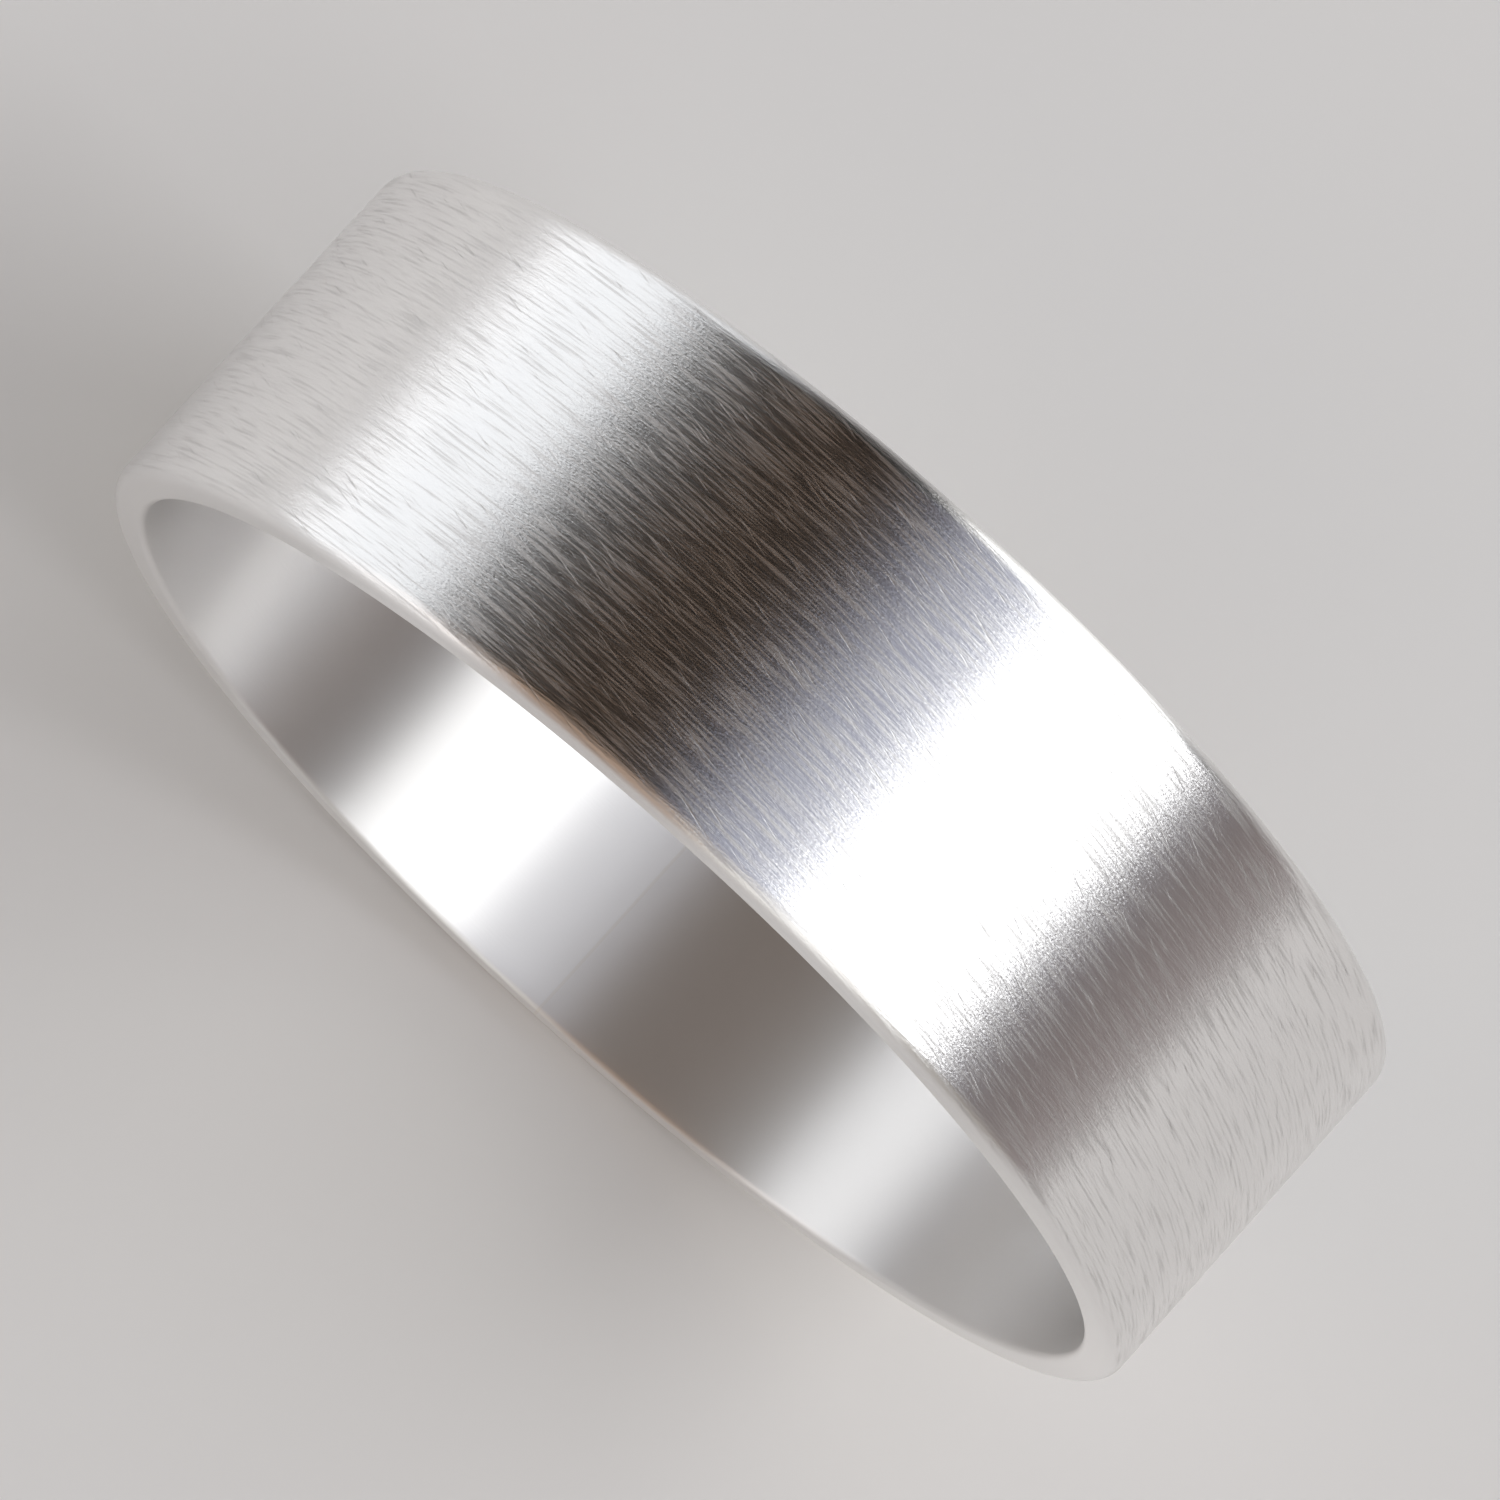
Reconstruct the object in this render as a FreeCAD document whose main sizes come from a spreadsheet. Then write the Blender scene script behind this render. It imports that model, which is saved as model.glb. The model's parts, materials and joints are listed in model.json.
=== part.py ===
import FreeCAD, Part

import math
import os

import Sketcher

# Plain flat wedding band in sterling silver, made as a jeweller makes it: a flat strip is bent
# round until its squared ends meet, and a film of hard solder closes the joint.
#
# Frame: origin at the centre of the finger hole, +Y along the finger, +Z up with the band standing
# on its rim. The soldered joint is at the lowest point, where the band rests.

DRIVING_DIMENSIONS = [
    ("bore_diameter", 17.8),
    ("wall_thickness", 0.65),
    ("band_width", 6.0),
    ("outer_arris_radius", 0.25),
    ("bore_edge_radius", 0.1),
    ("seam_width", 0.05),
]

# Ends of a sketch element, as Sketcher numbers them.
START = 1
END = 2

# Sketcher's number for the sketch origin, which is a point of its horizontal axis.
ORIGIN = -1

# The lengths that bind a sketch or a feature to the sheet.
BORE_RADIUS = "dims.bore_diameter / 2"
OUTER_RADIUS = "dims.bore_diameter / 2 + dims.wall_thickness"
HALF_WIDTH = "dims.band_width / 2"
SEAM_ANGLE = "dims.seam_width / (dims.bore_diameter / 2) * 180 / pi"


def make_sheet(doc):
    """The driving dimensions, in millimetres."""
    sheet = doc.addObject("Spreadsheet::Sheet", "dims")
    for row, (alias, value) in enumerate(DRIVING_DIMENSIONS, start=1):
        sheet.set(f"A{row}", alias)
        sheet.set(f"B{row}", str(value))
        sheet.setAlias(f"B{row}", alias)
    doc.recompute()
    return sheet


def origin_plane(body, role):
    """One of the body's own origin planes."""
    return next(item for item in body.Origin.OriginFeatures if item.Role == role)


def corner(sketch, centre_u, centre_v, radius, start_degrees):
    """A quarter-circle corner that starts at the given direction and turns anticlockwise."""
    centre = FreeCAD.Vector(centre_u, centre_v, 0)
    circle = Part.Circle(centre, FreeCAD.Vector(0, 0, 1), radius)
    start = math.radians(start_degrees)
    end = math.radians(start_degrees + 90)
    return sketch.addGeometry(Part.ArcOfCircle(circle, start, end))


def line(sketch, from_point, to_point):
    """A straight side of the section."""
    ends = [FreeCAD.Vector(u, v, 0) for u, v in (from_point, to_point)]
    return sketch.addGeometry(Part.LineSegment(*ends))


def bind(sketch, name, constraint, expression):
    """Add a dimension to the sketch and drive it from the sheet."""
    index = sketch.addConstraint(constraint)
    sketch.renameConstraint(index, name)
    sketch.setExpression(f"Constraints.{name}", expression)


def draw_section(body, sheet):
    """The band's cross-section above the finger axis: flat outside and inside, with eased corners."""
    sketch = body.newObject("Sketcher::SketchObject", f"{body.Name}_section")
    sketch.AttachmentSupport = [(origin_plane(body, "YZ_Plane"), "")]
    sketch.MapMode = "FlatFace"

    side = float(sheet.band_width) / 2
    inner = float(sheet.bore_diameter) / 2
    outer = inner + float(sheet.wall_thickness)
    arris = float(sheet.outer_arris_radius)
    easing = float(sheet.bore_edge_radius)

    outside = line(sketch, (side - arris, outer), (arris - side, outer))
    left_arris = corner(sketch, arris - side, outer - arris, arris, 90)
    left_face = line(sketch, (-side, outer - arris), (-side, inner + easing))
    left_easing = corner(sketch, easing - side, inner + easing, easing, 180)
    inside = line(sketch, (easing - side, inner), (side - easing, inner))
    right_easing = corner(sketch, side - easing, inner + easing, easing, 270)
    right_face = line(sketch, (side, inner + easing), (side, outer - arris))
    right_arris = corner(sketch, side - arris, outer - arris, arris, 0)

    loop = [
        outside,
        left_arris,
        left_face,
        left_easing,
        inside,
        right_easing,
        right_face,
        right_arris,
    ]
    for this, following in zip(loop, loop[1:] + loop[:1]):
        sketch.addConstraint(Sketcher.Constraint("Tangent", this, END, following, START))
    for flat in (outside, inside):
        sketch.addConstraint(Sketcher.Constraint("Horizontal", flat))
    for face in (left_face, right_face):
        sketch.addConstraint(Sketcher.Constraint("Vertical", face))
    sketch.addConstraint(Sketcher.Constraint("Equal", left_arris, right_arris))
    sketch.addConstraint(Sketcher.Constraint("Equal", left_easing, right_easing))

    to_outside = Sketcher.Constraint("DistanceY", ORIGIN, START, outside, START, outer)
    to_inside = Sketcher.Constraint("DistanceY", ORIGIN, START, inside, START, inner)
    to_right = Sketcher.Constraint("DistanceX", ORIGIN, START, right_face, START, side)
    to_left = Sketcher.Constraint("DistanceX", left_face, START, ORIGIN, START, side)
    bind(sketch, "outer_radius", to_outside, OUTER_RADIUS)
    bind(sketch, "bore_radius", to_inside, BORE_RADIUS)
    bind(sketch, "half_width_right", to_right, HALF_WIDTH)
    bind(sketch, "half_width_left", to_left, HALF_WIDTH)
    arris_radius = Sketcher.Constraint("Radius", right_arris, arris)
    easing_radius = Sketcher.Constraint("Radius", right_easing, easing)
    bind(sketch, "arris", arris_radius, "dims.outer_arris_radius")
    bind(sketch, "easing", easing_radius, "dims.bore_edge_radius")
    return sketch


def revolve_section(body, sheet, angle_expression):
    """Turn the section about the finger axis, half the angle to each side of the top."""
    sketch = draw_section(body, sheet)
    turn = body.newObject("PartDesign::Revolution", f"{body.Name}_turn")
    turn.Profile = sketch
    turn.ReferenceAxis = (sketch, ["H_Axis"])
    turn.Midplane = True
    turn.setExpression("Angle", angle_expression)
    return turn


def make_band_strip(doc, sheet):
    """The flat strip, bent round with its end faces a seam's width apart."""
    body = doc.addObject("PartDesign::Body", "band_strip")
    body.Label = "band_strip"
    revolve_section(body, sheet, f"360 - {SEAM_ANGLE}")
    body.Placement = FreeCAD.Placement()
    return body


def make_solder_seam(doc, sheet):
    """The film of hard solder, filed flush with the strip all round, turned to the lowest point."""
    body = doc.addObject("PartDesign::Body", "solder_seam")
    body.Label = "solder_seam"
    revolve_section(body, sheet, SEAM_ANGLE)
    half_turn = FreeCAD.Rotation(FreeCAD.Vector(0, 1, 0), 180)
    body.Placement = FreeCAD.Placement(FreeCAD.Vector(0, 0, 0), half_turn)
    return body


def check_document(doc, bodies):
    """Stop on any object that failed to compute, and on any sub-part that isn't one sound solid."""
    for item in doc.Objects:
        if "Invalid" in item.State or "Error" in item.State:
            raise RuntimeError(f"{item.Name} failed: {item.State}")
    for body in bodies:
        shape = body.Shape
        if shape.isNull() or not shape.isValid() or len(shape.Solids) != 1:
            raise RuntimeError(f"{body.Label} is not one valid solid")


def report_fit(strip, seam):
    """The two pieces meet face to face: no overlap, and no gap left in the ring."""
    overlap = strip.Shape.common(seam.Shape).Volume
    joined = strip.Shape.fuse(seam.Shape)
    print("strip", round(strip.Shape.Volume, 4), "mm3, seam", round(seam.Shape.Volume, 4), "mm3")
    print("overlap", round(overlap, 6), "mm3, solids when fused", len(joined.Solids))


def main():
    doc = FreeCAD.newDocument("wedding_band")
    sheet = make_sheet(doc)
    strip = make_band_strip(doc, sheet)
    seam = make_solder_seam(doc, sheet)
    doc.recompute()
    bodies = [strip, seam]
    check_document(doc, bodies)
    report_fit(strip, seam)
    os.makedirs("parts", exist_ok=True)
    for body in bodies:
        body.Shape.exportStep(os.path.join("parts", f"{body.Label}.step"))


main()
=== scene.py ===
import json
import math
from typing import NamedTuple

import bpy
from mathutils import Matrix, Vector, noise


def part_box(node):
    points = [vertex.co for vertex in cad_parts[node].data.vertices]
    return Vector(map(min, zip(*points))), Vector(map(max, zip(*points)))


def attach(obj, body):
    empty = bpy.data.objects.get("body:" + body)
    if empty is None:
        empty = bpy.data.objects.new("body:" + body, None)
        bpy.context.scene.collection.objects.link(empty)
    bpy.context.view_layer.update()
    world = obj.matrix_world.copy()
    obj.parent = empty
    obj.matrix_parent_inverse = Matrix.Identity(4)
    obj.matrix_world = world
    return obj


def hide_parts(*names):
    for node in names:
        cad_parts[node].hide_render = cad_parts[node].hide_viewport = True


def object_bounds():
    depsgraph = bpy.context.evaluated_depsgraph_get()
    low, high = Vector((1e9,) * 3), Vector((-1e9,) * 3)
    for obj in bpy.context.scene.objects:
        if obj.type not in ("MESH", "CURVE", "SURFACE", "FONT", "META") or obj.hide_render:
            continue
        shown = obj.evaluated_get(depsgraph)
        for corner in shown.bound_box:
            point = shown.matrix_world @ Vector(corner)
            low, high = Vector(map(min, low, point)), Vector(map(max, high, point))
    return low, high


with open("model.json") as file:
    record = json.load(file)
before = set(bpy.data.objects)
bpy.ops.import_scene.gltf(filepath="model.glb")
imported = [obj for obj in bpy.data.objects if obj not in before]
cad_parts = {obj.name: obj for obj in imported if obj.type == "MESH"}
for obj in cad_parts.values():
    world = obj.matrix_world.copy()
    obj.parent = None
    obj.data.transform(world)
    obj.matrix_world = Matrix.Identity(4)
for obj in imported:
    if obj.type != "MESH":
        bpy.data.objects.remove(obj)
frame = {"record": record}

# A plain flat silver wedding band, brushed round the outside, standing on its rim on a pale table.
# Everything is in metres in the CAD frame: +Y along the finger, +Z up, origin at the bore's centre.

MM = 0.001

# --- The band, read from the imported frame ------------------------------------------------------

CAD_LOW, CAD_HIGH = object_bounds()
SEAM_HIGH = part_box("solder_seam")[1]
BORE = next(mount for mount in frame["record"]["mounts"] if mount["name"] == "finger_bore")

HALF_WIDTH = CAD_HIGH.y
OUTER_RADIUS = CAD_HIGH.z
BORE_RADIUS = BORE["dims"]["r_mm"] * MM
BORE_EASING = HALF_WIDTH - BORE["dims"]["length_mm"] * MM / 2
ARRIS_RADIUS = 0.25 * MM
SEAM_HALF_ANGLE = math.asin(SEAM_HIGH.x / OUTER_RADIUS)

# --- Hand finish: how far the surface strays from the true section -------------------------------


class Marks(NamedTuple):
    """One layer of brush marks, long round the ring and narrow across it."""

    tilt: float  # degrees away from the ring's own direction
    length: float  # millimetres along a mark
    pitch: float  # millimetres from one mark to the next
    layer: float  # where the layer lies in the noise
    weight: float = 1.0  # its share of the relief, less than zero for marks cut in
    detail: float = 2.0  # how much finer noise is added, in a material


# The filing waves' noise: turns of it round the ring, turns of it per millimetre across, and place.
WAVE_DEPTH = 0.010 * MM
WAVE_ROUND = 2.6
WAVE_ACROSS = 0.22
WAVE_LAYER = 3.0

GROOVE_DEPTH = 0.004 * MM
GROOVES = (
    Marks(tilt=4.0, length=1.8, pitch=0.15, layer=7.0),
    Marks(tilt=-6.0, length=1.3, pitch=0.12, layer=31.0, weight=0.8),
)

# How finely the band is divided.
STEPS_ROUND = 400
STEPS_OUTSIDE = 176
STEPS_ARRIS = 9
STEPS_SIDE = 4
STEPS_EASING = 5
STEPS_BORE = 24
STEPS_SEAM = 3


def section_path():
    """The section as (y, radius) points, in order round it.

    It runs along the outside, over one arris, down that side face, through the bore and back up.
    """
    side = HALF_WIDTH
    points = []

    def arc(centre_y, centre_r, radius, start, steps):
        for step in range(steps):
            angle = math.radians(start - 90 * step / steps)
            points.append((centre_y + radius * math.cos(angle), centre_r + radius * math.sin(angle)))

    def straight(start, end, steps):
        for step in range(steps):
            share = step / steps
            points.append(tuple(a + (b - a) * share for a, b in zip(start, end)))

    flat = side - ARRIS_RADIUS
    land = side - BORE_EASING
    shoulder = OUTER_RADIUS - ARRIS_RADIUS
    lip = BORE_RADIUS + BORE_EASING
    straight((-flat, OUTER_RADIUS), (flat, OUTER_RADIUS), STEPS_OUTSIDE)
    arc(flat, shoulder, ARRIS_RADIUS, 90, STEPS_ARRIS)
    straight((side, shoulder), (side, lip), STEPS_SIDE)
    arc(land, lip, BORE_EASING, 0, STEPS_EASING)
    straight((land, BORE_RADIUS), (-land, BORE_RADIUS), STEPS_BORE)
    arc(-land, lip, BORE_EASING, -90, STEPS_EASING)
    straight((-side, lip), (-side, shoulder), STEPS_SIDE)
    arc(-flat, shoulder, ARRIS_RADIUS, 180, STEPS_ARRIS)
    return points


def smooth_step(value, low, high):
    """0 below low, 1 above high, and an S-shaped rise between."""
    share = min(max((value - low) / (high - low), 0.0), 1.0)
    return share * share * (3 - 2 * share)


def as_share(value):
    """Noise of about -1 to 1, moved to about 0 to 1."""
    return 0.5 + 0.5 * value


def filing_wave(turn, y):
    """Slow noise, without a break, round the ring."""
    round_x = math.cos(turn) * WAVE_ROUND
    round_z = math.sin(turn) * WAVE_ROUND
    return noise.noise(Vector((round_x, round_z, y / MM * WAVE_ACROSS + WAVE_LAYER)))


def groove(turn, y, marks):
    """One layer of brush grooves."""
    tilt = math.radians(marks.tilt)
    arc = turn * OUTER_RADIUS / MM
    along = arc * math.cos(tilt) + y / MM * math.sin(tilt)
    over = y / MM * math.cos(tilt) - arc * math.sin(tilt)
    return noise.noise(Vector((along / marks.length, over / marks.pitch, marks.layer)))


def finish_depth(turn, y, radius):
    """How far the surface lies below the true one at a point: waves of filing, and brush grooves."""
    outside = smooth_step(radius, OUTER_RADIUS - ARRIS_RADIUS, OUTER_RADIUS)
    brush = sum(marks.weight * groove(turn, y, marks) for marks in GROOVES)
    waves = WAVE_DEPTH * as_share(filing_wave(turn, y))
    return waves + outside * GROOVE_DEPTH * as_share(brush)


def ring_points(section, turns):
    """Every vertex, section by section round the ring, eased inwards by the hand finish."""
    points = []
    for turn in turns:
        for y, radius in section:
            worn = radius - finish_depth(turn, y, radius)
            points.append((worn * math.sin(turn), y, worn * math.cos(turn)))
    return points


def swept_faces(steps, count):
    """Quads between each section and the next, count points to a section, and last the end caps."""
    faces = []
    for row in range(steps):
        here = row * count
        there = here + count
        for column in range(count):
            following = (column + 1) % count
            faces.append((here + column, there + column, there + following, here + following))
    first_cap = tuple(range(count))
    last_cap = tuple(reversed(range(steps * count, (steps + 1) * count)))
    return faces + [first_cap, last_cap]


def mark_cap_edges_sharp(mesh):
    """The end caps, the last two faces, meet the swept skin at a hard edge."""
    face_count = len(mesh.polygons)
    keys = set()
    for cap in mesh.polygons[face_count - 2:face_count]:
        keys.update(cap.edge_keys)
    sharp = mesh.attributes.new("sharp_edge", "BOOLEAN", "EDGE")
    for edge in mesh.edges:
        sharp.data[edge.index].value = edge.key in keys


def make_arc_of_band(name, first_turn, last_turn, steps, section):
    """A closed solid: the section swept round the finger axis, with a flat cap at each end."""
    turns = [first_turn + (last_turn - first_turn) * step / steps for step in range(steps + 1)]
    faces = swept_faces(steps, len(section))
    mesh = bpy.data.meshes.new(name)
    mesh.from_pydata(ring_points(section, turns), [], faces)
    smooth = [True] * (len(faces) - 2) + [False, False]
    mesh.polygons.foreach_set("use_smooth", smooth)
    mark_cap_edges_sharp(mesh)
    mesh.validate()
    piece = bpy.data.objects.new(name, mesh)
    bpy.context.scene.collection.objects.link(piece)
    return piece


# --- Materials -----------------------------------------------------------------------------------

SILVER_COLOUR = (0.92, 0.91, 0.90)
SOLDER_COLOUR = (0.89, 0.87, 0.84)

# The brushed relief of the outer face, in layers.
FINE = Marks(tilt=2.0, length=1.2, pitch=0.034, layer=1.0, detail=4.0)
SLANT = Marks(tilt=-6.0, length=0.9, pitch=0.048, layer=9.0, weight=0.7, detail=3.0)
CROSS = Marks(tilt=12.0, length=0.35, pitch=0.036, layer=17.0, weight=0.35, detail=3.0)
GRAIN = Marks(tilt=5.0, length=0.060, pitch=0.028, layer=21.0, weight=0.36)
SCRATCHES = Marks(tilt=-15.0, length=0.9, pitch=0.050, layer=25.0, weight=-0.22, detail=1.0)
STREAKS = Marks(tilt=-3.0, length=1.2, pitch=0.040, layer=33.0, detail=3.0)

# The noise values between which a scratch or a rougher streak sets in.
SCRATCH_FROM, SCRATCH_FULL = 0.64, 0.76
STREAK_FROM, STREAK_FULL = 0.46, 0.66

# Where the brushing fades towards the arrises, in from the outer radius, and the bore's satin
# towards the bore's edges, out from the bore radius.
BRUSH_FROM, BRUSH_FULL = 0.16 * MM, 0.03 * MM
SATIN_FROM, SATIN_FULL = 0.10 * MM, 0.02 * MM

RELIEF = 0.0075 * MM
RELIEF_EVERYWHERE = 0.1
RELIEF_BRUSHED = 0.9
ROUGHNESS = 0.28
ROUGHER_WORN = 0.24
ROUGHER_BORE = 0.12
SCRATCH_WEAR = 0.8
ANISOTROPY = 0.95
QUARTER_TURN = 0.25


class Nodes:
    """Short calls for building a node tree from left to right."""

    def __init__(self, tree):
        self.tree = tree
        tree.nodes.clear()

    def add(self, kind, inputs=None, **settings):
        node = self.tree.nodes.new(kind)
        for key, value in settings.items():
            setattr(node, key, value)
        for key, value in (inputs or {}).items():
            self.put(node.inputs[key], value)
        return node

    def put(self, socket, value):
        if isinstance(value, bpy.types.NodeSocket):
            self.tree.links.new(value, socket)
        else:
            socket.default_value = value

    def math(self, operation, first, second=0.0, third=0.0):
        node = self.add("ShaderNodeMath", operation=operation)
        for socket, value in zip(node.inputs, (first, second, third)):
            self.put(socket, value)
        return node.outputs[0]

    def ramp(self, value, low, high, start=0.0, end=1.0):
        """Value, from low to high, taken smoothly to start to end."""
        node = self.add("ShaderNodeMapRange", interpolation_type="SMOOTHSTEP")
        for socket, number in zip(node.inputs, (value, low, high, start, end)):
            self.put(socket, number)
        return node.outputs["Result"]


def ring_coordinates(nodes):
    """Arc length round the ring from the top, distance across it and radius, all in millimetres."""
    place = nodes.add("ShaderNodeTexCoord").outputs["Object"]
    parts = nodes.add("ShaderNodeSeparateXYZ", {"Vector": place}).outputs
    turn = nodes.math("ARCTAN2", parts["X"], parts["Z"])
    arc = nodes.math("MULTIPLY", turn, OUTER_RADIUS / MM)
    across = nodes.math("DIVIDE", parts["Y"], MM)
    squares = nodes.math("MULTIPLY", parts["X"], parts["X"])
    squares = nodes.math("MULTIPLY_ADD", parts["Z"], parts["Z"], squares)
    radius = nodes.math("DIVIDE", nodes.math("SQRT", squares), MM)
    return arc, across, radius


def brush_layer(nodes, arc, across, marks):
    """One layer of brush marks as noise: 0 to 1."""
    tilt = math.radians(marks.tilt)
    along = nodes.math("MULTIPLY", arc, math.cos(tilt))
    along = nodes.math("MULTIPLY_ADD", across, math.sin(tilt), along)
    over = nodes.math("MULTIPLY", across, math.cos(tilt))
    over = nodes.math("MULTIPLY_ADD", arc, -math.sin(tilt), over)
    place = nodes.add("ShaderNodeCombineXYZ", {
        "X": nodes.math("DIVIDE", along, marks.length),
        "Y": nodes.math("DIVIDE", over, marks.pitch),
        "Z": marks.layer,
    }).outputs[0]
    settings = {"Vector": place, "Scale": 1.0, "Detail": marks.detail}
    return nodes.add("ShaderNodeTexNoise", settings).outputs["Fac"]


def brushed_height(nodes, arc, across, scratches):
    """The layers of the brushed relief, added up."""
    height = brush_layer(nodes, arc, across, FINE)
    for marks in (SLANT, CROSS, GRAIN):
        layer = brush_layer(nodes, arc, across, marks)
        height = nodes.math("MULTIPLY_ADD", layer, marks.weight, height)
    return nodes.math("MULTIPLY_ADD", scratches, SCRATCHES.weight, height)


def metal_roughness(nodes, scratches, streaks, outside, inside):
    """Smooth on the edges, rougher along scratches and streaks outside, and satin in the bore."""
    worn = nodes.math("MULTIPLY_ADD", scratches, SCRATCH_WEAR, streaks)
    worn = nodes.math("MULTIPLY", worn, outside)
    roughness = nodes.math("MULTIPLY_ADD", worn, ROUGHER_WORN, ROUGHNESS)
    return nodes.math("MULTIPLY_ADD", inside, ROUGHER_BORE, roughness)


def make_silver(name, colour):
    """Metal brushed round the outside, smoother on its edges and a plain satin in the bore."""
    material = bpy.data.materials.new(name)
    material.use_nodes = True
    nodes = Nodes(material.node_tree)
    arc, across, radius = ring_coordinates(nodes)
    outside = nodes.ramp(radius, (OUTER_RADIUS - BRUSH_FROM) / MM, (OUTER_RADIUS - BRUSH_FULL) / MM)
    inside = nodes.ramp(radius, (BORE_RADIUS + SATIN_FROM) / MM, (BORE_RADIUS + SATIN_FULL) / MM)
    scratches = brush_layer(nodes, arc, across, SCRATCHES)
    scratches = nodes.ramp(scratches, SCRATCH_FROM, SCRATCH_FULL)
    streaks = brush_layer(nodes, arc, across, STREAKS)
    streaks = nodes.ramp(streaks, STREAK_FROM, STREAK_FULL)

    bump = nodes.add("ShaderNodeBump", {
        "Height": brushed_height(nodes, arc, across, scratches),
        "Strength": nodes.math("MULTIPLY_ADD", outside, RELIEF_BRUSHED, RELIEF_EVERYWHERE),
        "Distance": RELIEF,
    })
    tangent = nodes.add("ShaderNodeTangent", direction_type="RADIAL", axis="Y")
    shader = nodes.add("ShaderNodeBsdfPrincipled", {
        "Base Color": (*colour, 1.0),
        "Metallic": 1.0,
        "Roughness": metal_roughness(nodes, scratches, streaks, outside, inside),
        "Normal": bump.outputs[0],
        "Tangent": tangent.outputs[0],
        "Anisotropic": ANISOTROPY,
        "Anisotropic Rotation": QUARTER_TURN,
    })
    nodes.add("ShaderNodeOutputMaterial", {"Surface": shader.outputs[0]})
    return material


def make_matt(name, colour, roughness):
    """A plain matt surface of one tone."""
    material = bpy.data.materials.new(name)
    material.use_nodes = True
    nodes = Nodes(material.node_tree)
    settings = {"Base Color": (*colour, 1.0), "Roughness": roughness}
    shader = nodes.add("ShaderNodeBsdfPrincipled", settings)
    nodes.add("ShaderNodeOutputMaterial", {"Surface": shader.outputs[0]})
    return material


def use_whole_ring_space(piece):
    """Give the piece the whole ring's texture space, so that radial tangents turn about its axis."""
    piece.data.use_auto_texspace = False
    piece.data.texspace_location = (0, 0, 0)
    piece.data.texspace_size = (OUTER_RADIUS, HALF_WIDTH, OUTER_RADIUS)


def make_band():
    """The strip and its solder, in place of the two CAD nodes."""
    section = section_path()
    silver = make_silver("brushed_silver", SILVER_COLOUR)
    solder = make_silver("filed_solder", SOLDER_COLOUR)
    seam_start = math.pi - SEAM_HALF_ANGLE
    seam_end = math.pi + SEAM_HALF_ANGLE
    strip = make_arc_of_band("bent_silver_strip", -seam_start, seam_start, STEPS_ROUND, section)
    seam = make_arc_of_band("soldered_butt_joint", seam_start, seam_end, STEPS_SEAM, section)
    dress(strip, silver, "band_strip")
    dress(seam, solder, "solder_seam")


def dress(piece, material, node):
    """Give the piece the ring's texture space and its material, hang it on the root body, and hide the
    CAD node that it stands in for.
    """
    use_whole_ring_space(piece)
    piece.data.materials.append(material)
    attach(piece, "root")
    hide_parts(node)


# --- Table, light and camera ---------------------------------------------------------------------

TABLE_SIZE = 4.0
TABLE_COLOUR = (0.765, 0.748, 0.728)
TABLE_ROUGHNESS = 0.85

# The room's light by angle, from the right-hand horizon (0) over the top (90) to the left (180), for
# directions across the finger axis and for those towards its near and far ends. The colours began as
# rounded results of fitting lights to the photograph's tones, and were then set one by one.
SKY_ACROSS = [
    (0, (0.24, 0.20, 0.20)),
    (19, (0.17, 0.14, 0.14)),
    (25, (0.18, 0.165, 0.18)),
    (31, (0.34, 0.34, 0.37)),
    (36, (0.80, 0.79, 0.80)),
    (64, (0.86, 0.85, 0.85)),
    (69, (0.28, 0.30, 0.42)),
    (86, (0.24, 0.26, 0.38)),
    (93, (0.14, 0.15, 0.21)),
    (99, (0.02, 0.02, 0.025)),
    (104, (0.0, 0.0, 0.0)),
]
SKY_NEAR = [
    (0, (0.36, 0.33, 0.29)),
    (20, (0.34, 0.31, 0.27)),
    (27, (0.25, 0.23, 0.20)),
    (36, (1.15, 1.13, 1.10)),
    (65, (1.20, 1.18, 1.15)),
    (70, (0.95, 0.92, 0.87)),
    (88, (0.80, 0.77, 0.72)),
    (96, (0.42, 0.31, 0.24)),
    (132, (0.46, 0.31, 0.22)),
    (142, (0.34, 0.25, 0.19)),
    (180, (0.36, 0.26, 0.20)),
]
SKY_FAR = [
    (0, (0.0, 0.0, 0.0)),
    (30, (0.05, 0.05, 0.05)),
    (37, (1.55, 1.60, 1.62)),
    (65, (1.50, 1.55, 1.56)),
    (70, (0.98, 1.00, 0.97)),
    (86, (0.86, 0.88, 0.85)),
    (93, (0.26, 0.26, 0.25)),
    (98, (0.02, 0.02, 0.02)),
    (180, (0.0, 0.0, 0.0)),
]
SKY_STRENGTH = 2.0
HALF_CIRCLE = 180

# How far a direction leans along Y, from 0 to 1, where the light of each end of the axis sets in.
NEAR_END_FROM, NEAR_END_FULL = -0.32, -0.52
FAR_END_FROM, FAR_END_FULL = 0.50, 0.65

# A Mix node has a set of sockets for each kind of data: these are its factor and its colours.
MIX_FACTOR, MIX_FIRST, MIX_SECOND, MIX_RESULT = 0, 6, 7, 2


def make_table():
    """A flat square under the band, level with the band's lowest point."""
    half = TABLE_SIZE / 2
    corners = [(-half, -half, 0), (half, -half, 0), (half, half, 0), (-half, half, 0)]
    mesh = bpy.data.meshes.new("table_top")
    mesh.from_pydata(corners, [], [(0, 1, 2, 3)])
    table = bpy.data.objects.new("table_top", mesh)
    table.location.z = CAD_LOW.z
    bpy.context.scene.collection.objects.link(table)
    table.data.materials.append(make_matt("pale_table", TABLE_COLOUR, TABLE_ROUGHNESS))


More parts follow.
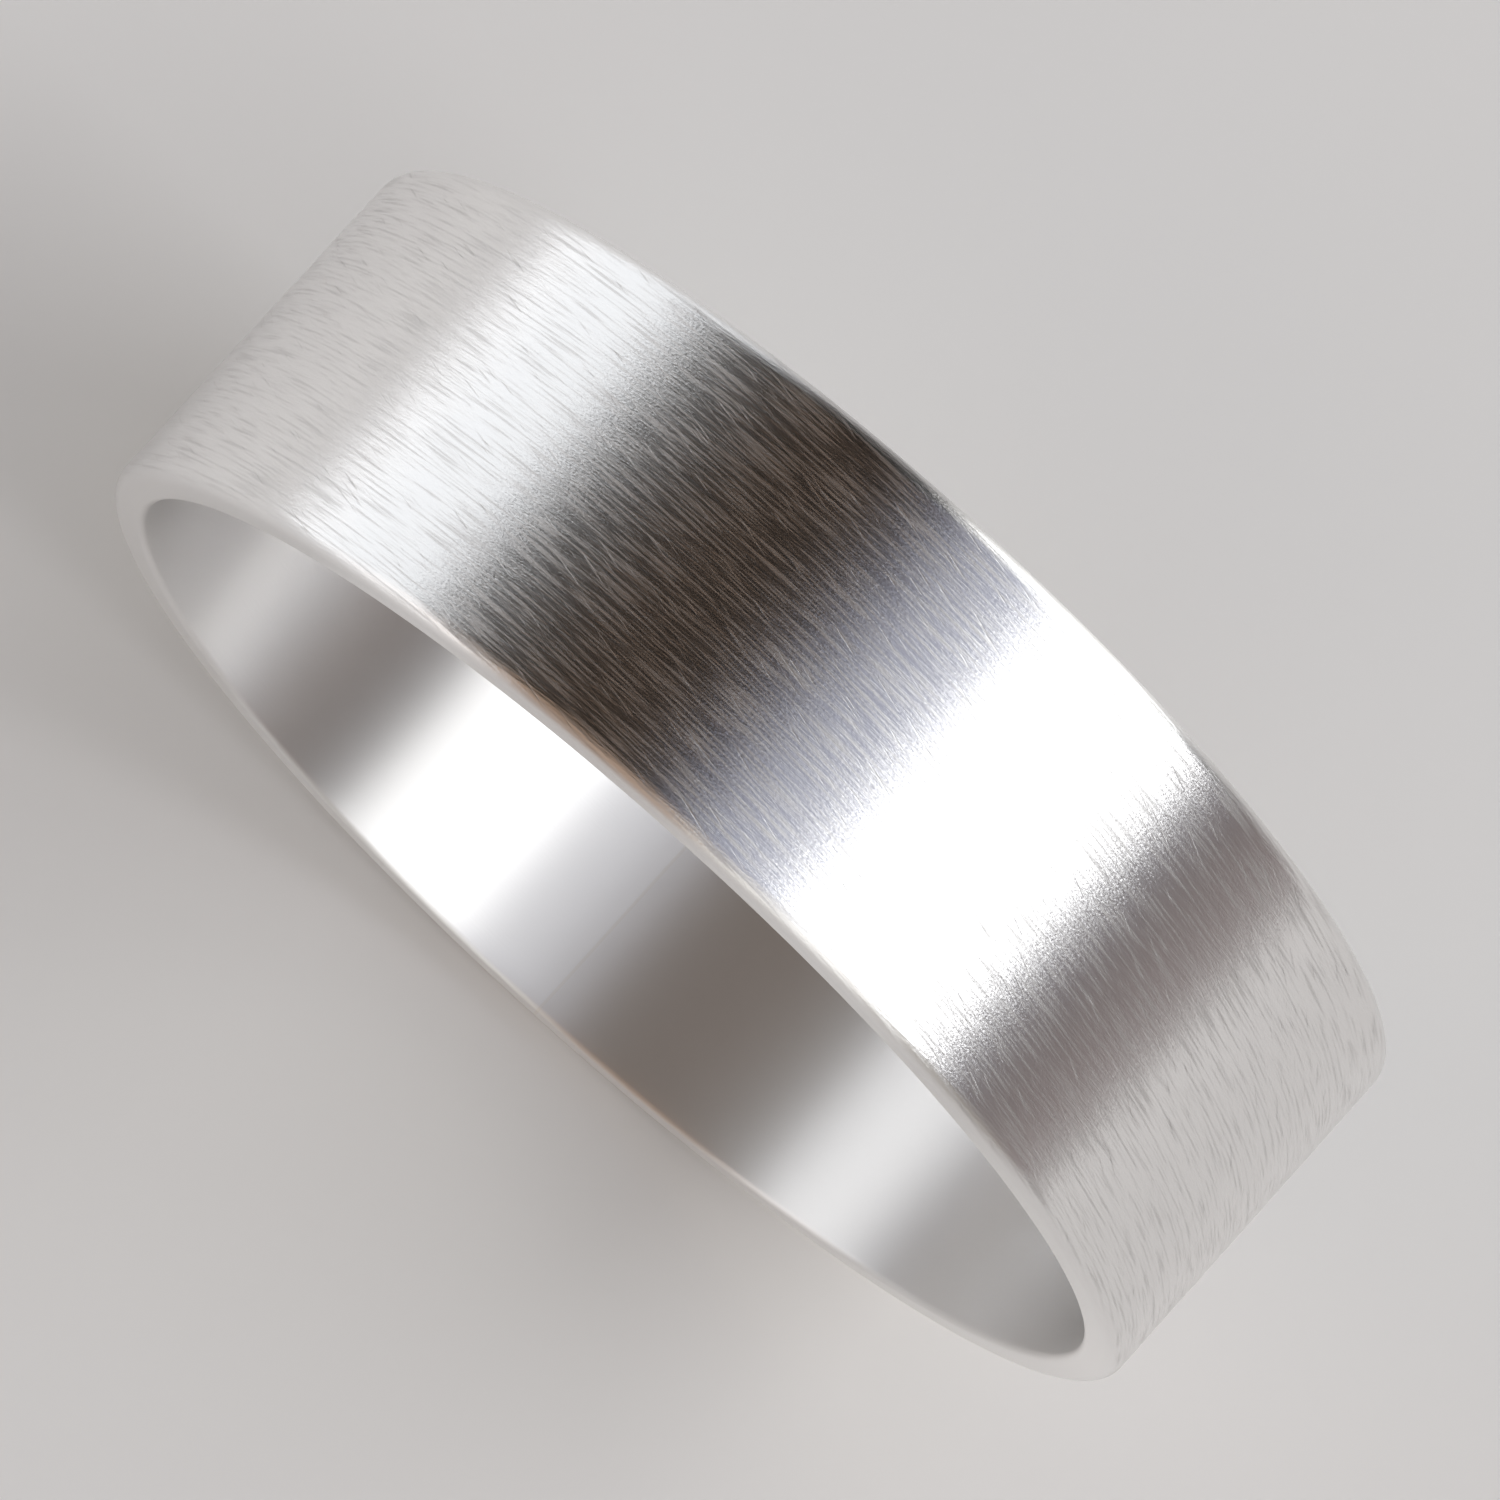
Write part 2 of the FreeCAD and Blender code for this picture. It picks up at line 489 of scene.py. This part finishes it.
def sky_ramp(nodes, share, stops):
    """Colour by angle over the room, share 0 to 1 for 0 to 180 degrees.

    Colours stay below 1 in the ramp, so the background's strength brings them back up.
    """
    ramp = nodes.add("ShaderNodeValToRGB", {"Fac": share})
    elements = ramp.color_ramp.elements
    while len(elements) < len(stops):
        elements.new(0.5)
    for element, (degrees, colour) in zip(elements, stops):
        element.position = degrees / HALF_CIRCLE
        element.color = (*(channel / SKY_STRENGTH for channel in colour), 1.0)
    return ramp.outputs["Color"]


def make_room_light():
    """A room bright high on the right, dark on the left, and brighter towards the axis's ends."""
    world = bpy.data.worlds.new("room")
    world.use_nodes = True
    bpy.context.scene.world = world
    nodes = Nodes(world.node_tree)
    way = nodes.add("ShaderNodeTexCoord").outputs["Generated"]
    parts = nodes.add("ShaderNodeSeparateXYZ", {"Vector": way}).outputs
    turn = nodes.math("ARCTAN2", parts["Z"], parts["X"])
    share = nodes.math("DIVIDE", turn, math.pi)
    near = nodes.ramp(parts["Y"], NEAR_END_FROM, NEAR_END_FULL)
    far = nodes.ramp(parts["Y"], FAR_END_FROM, FAR_END_FULL)
    colour = sky_ramp(nodes, share, SKY_ACROSS)
    for weight, stops in ((near, SKY_NEAR), (far, SKY_FAR)):
        mix = nodes.add("ShaderNodeMix", data_type="RGBA")
        nodes.put(mix.inputs[MIX_FACTOR], weight)
        nodes.put(mix.inputs[MIX_FIRST], colour)
        nodes.put(mix.inputs[MIX_SECOND], sky_ramp(nodes, share, stops))
        colour = mix.outputs[MIX_RESULT]
    background = nodes.add("ShaderNodeBackground", {"Color": colour, "Strength": SKY_STRENGTH})
    nodes.add("ShaderNodeOutputWorld", {"Surface": background.outputs[0]})


class Panel(NamedTuple):
    """A rectangular soft light, its length along Y, aimed at a point."""

    name: str
    centre: tuple
    target: tuple
    width: float
    length: float
    radiance: float  # the brightness that it shows in a mirror
    colour: tuple


KEY_ELEVATION = math.radians(52.3)
KEY_DISTANCE = 0.30
KEY_ALONG = 0.07
KEY_OUT = KEY_DISTANCE * math.cos(KEY_ELEVATION)
KEY_UP = KEY_DISTANCE * math.sin(KEY_ELEVATION)
CARD_OUT = -0.070
CARD_ALONG = 0.020
CARD_UP = 0.0198

PANELS = (
    Panel(
        name="key_softbox",
        centre=(KEY_OUT, KEY_ALONG, KEY_UP),
        target=(0, KEY_ALONG, 0),
        width=0.188,
        length=0.24,
        radiance=2.6,
        colour=(0.96, 0.98, 1.0),
    ),
    Panel(
        name="window_beyond",
        centre=(0.11, 0.45, 0.13),
        target=(0, 0, 0),
        width=0.26,
        length=0.20,
        radiance=2.4,
        colour=(1.0, 0.99, 0.97),
    ),
    Panel(
        name="bounce_card",
        centre=(CARD_OUT, CARD_ALONG, CARD_UP),
        target=(0, CARD_ALONG, CARD_UP),
        width=0.0450,
        length=0.30,
        radiance=1.06,
        colour=(0.935, 0.965, 1.0),
    ),
)


def make_panel(panel):
    """The lamp of one panel, unseen by the camera itself."""
    light = bpy.data.lights.new(panel.name, "AREA")
    light.shape = "RECTANGLE"
    light.size = panel.width
    light.size_y = panel.length
    light.energy = panel.radiance * math.pi * panel.width * panel.length
    light.color = panel.colour
    lamp = bpy.data.objects.new(panel.name, light)
    lamp.visible_camera = False
    toward = (Vector(panel.target) - Vector(panel.centre)).normalized()
    side = Vector((0, 1, 0))
    side = (side - toward * side.dot(toward)).normalized()
    rotation = Matrix((side.cross(-toward), side, -toward)).transposed()
    lamp.matrix_world = Matrix.Translation(panel.centre) @ rotation.to_4x4()
    bpy.context.scene.collection.objects.link(lamp)


def make_lights():
    """The room and its soft lights."""
    make_room_light()
    for panel in PANELS:
        make_panel(panel)


CAMERA_ELEVATION = math.radians(79.03)
CAMERA_ROLL = math.radians(42.16)
CAMERA_DISTANCE = 23.59 * OUTER_RADIUS
CAMERA_RANGE = (0.001, 10.0)
SENSOR = 36.0
LENS = 379.0
# How far the camera is moved, right and up in its own picture, to centre the band.
FRAMING = (0.00003, 0.00042)


def make_camera():
    """Looks down on the standing band, from its near side, turned so that it lies corner to corner."""
    back = Vector((0, -math.cos(CAMERA_ELEVATION), math.sin(CAMERA_ELEVATION)))
    right = Vector((1, 0, 0))
    up = back.cross(right)
    rolled_right = right * math.cos(CAMERA_ROLL) + up * math.sin(CAMERA_ROLL)
    rolled_up = up * math.cos(CAMERA_ROLL) - right * math.sin(CAMERA_ROLL)
    place = back * CAMERA_DISTANCE + rolled_right * FRAMING[0] + rolled_up * FRAMING[1]
    data = bpy.data.cameras.new("camera")
    data.sensor_width = SENSOR
    data.lens = LENS
    data.clip_start, data.clip_end = CAMERA_RANGE
    camera = bpy.data.objects.new("camera", data)
    rotation = Matrix((rolled_right, rolled_up, back)).transposed()
    camera.matrix_world = Matrix.Translation(place) @ rotation.to_4x4()
    bpy.context.scene.collection.objects.link(camera)
    bpy.context.scene.camera = camera


def set_film():
    """Plain colours, with no film look."""
    view = bpy.context.scene.view_settings
    view.view_transform = "Standard"
    view.look = "None"
    view.exposure = 0.0
    view.gamma = 1.0


make_camera()
make_band()
make_table()
make_lights()
set_film()
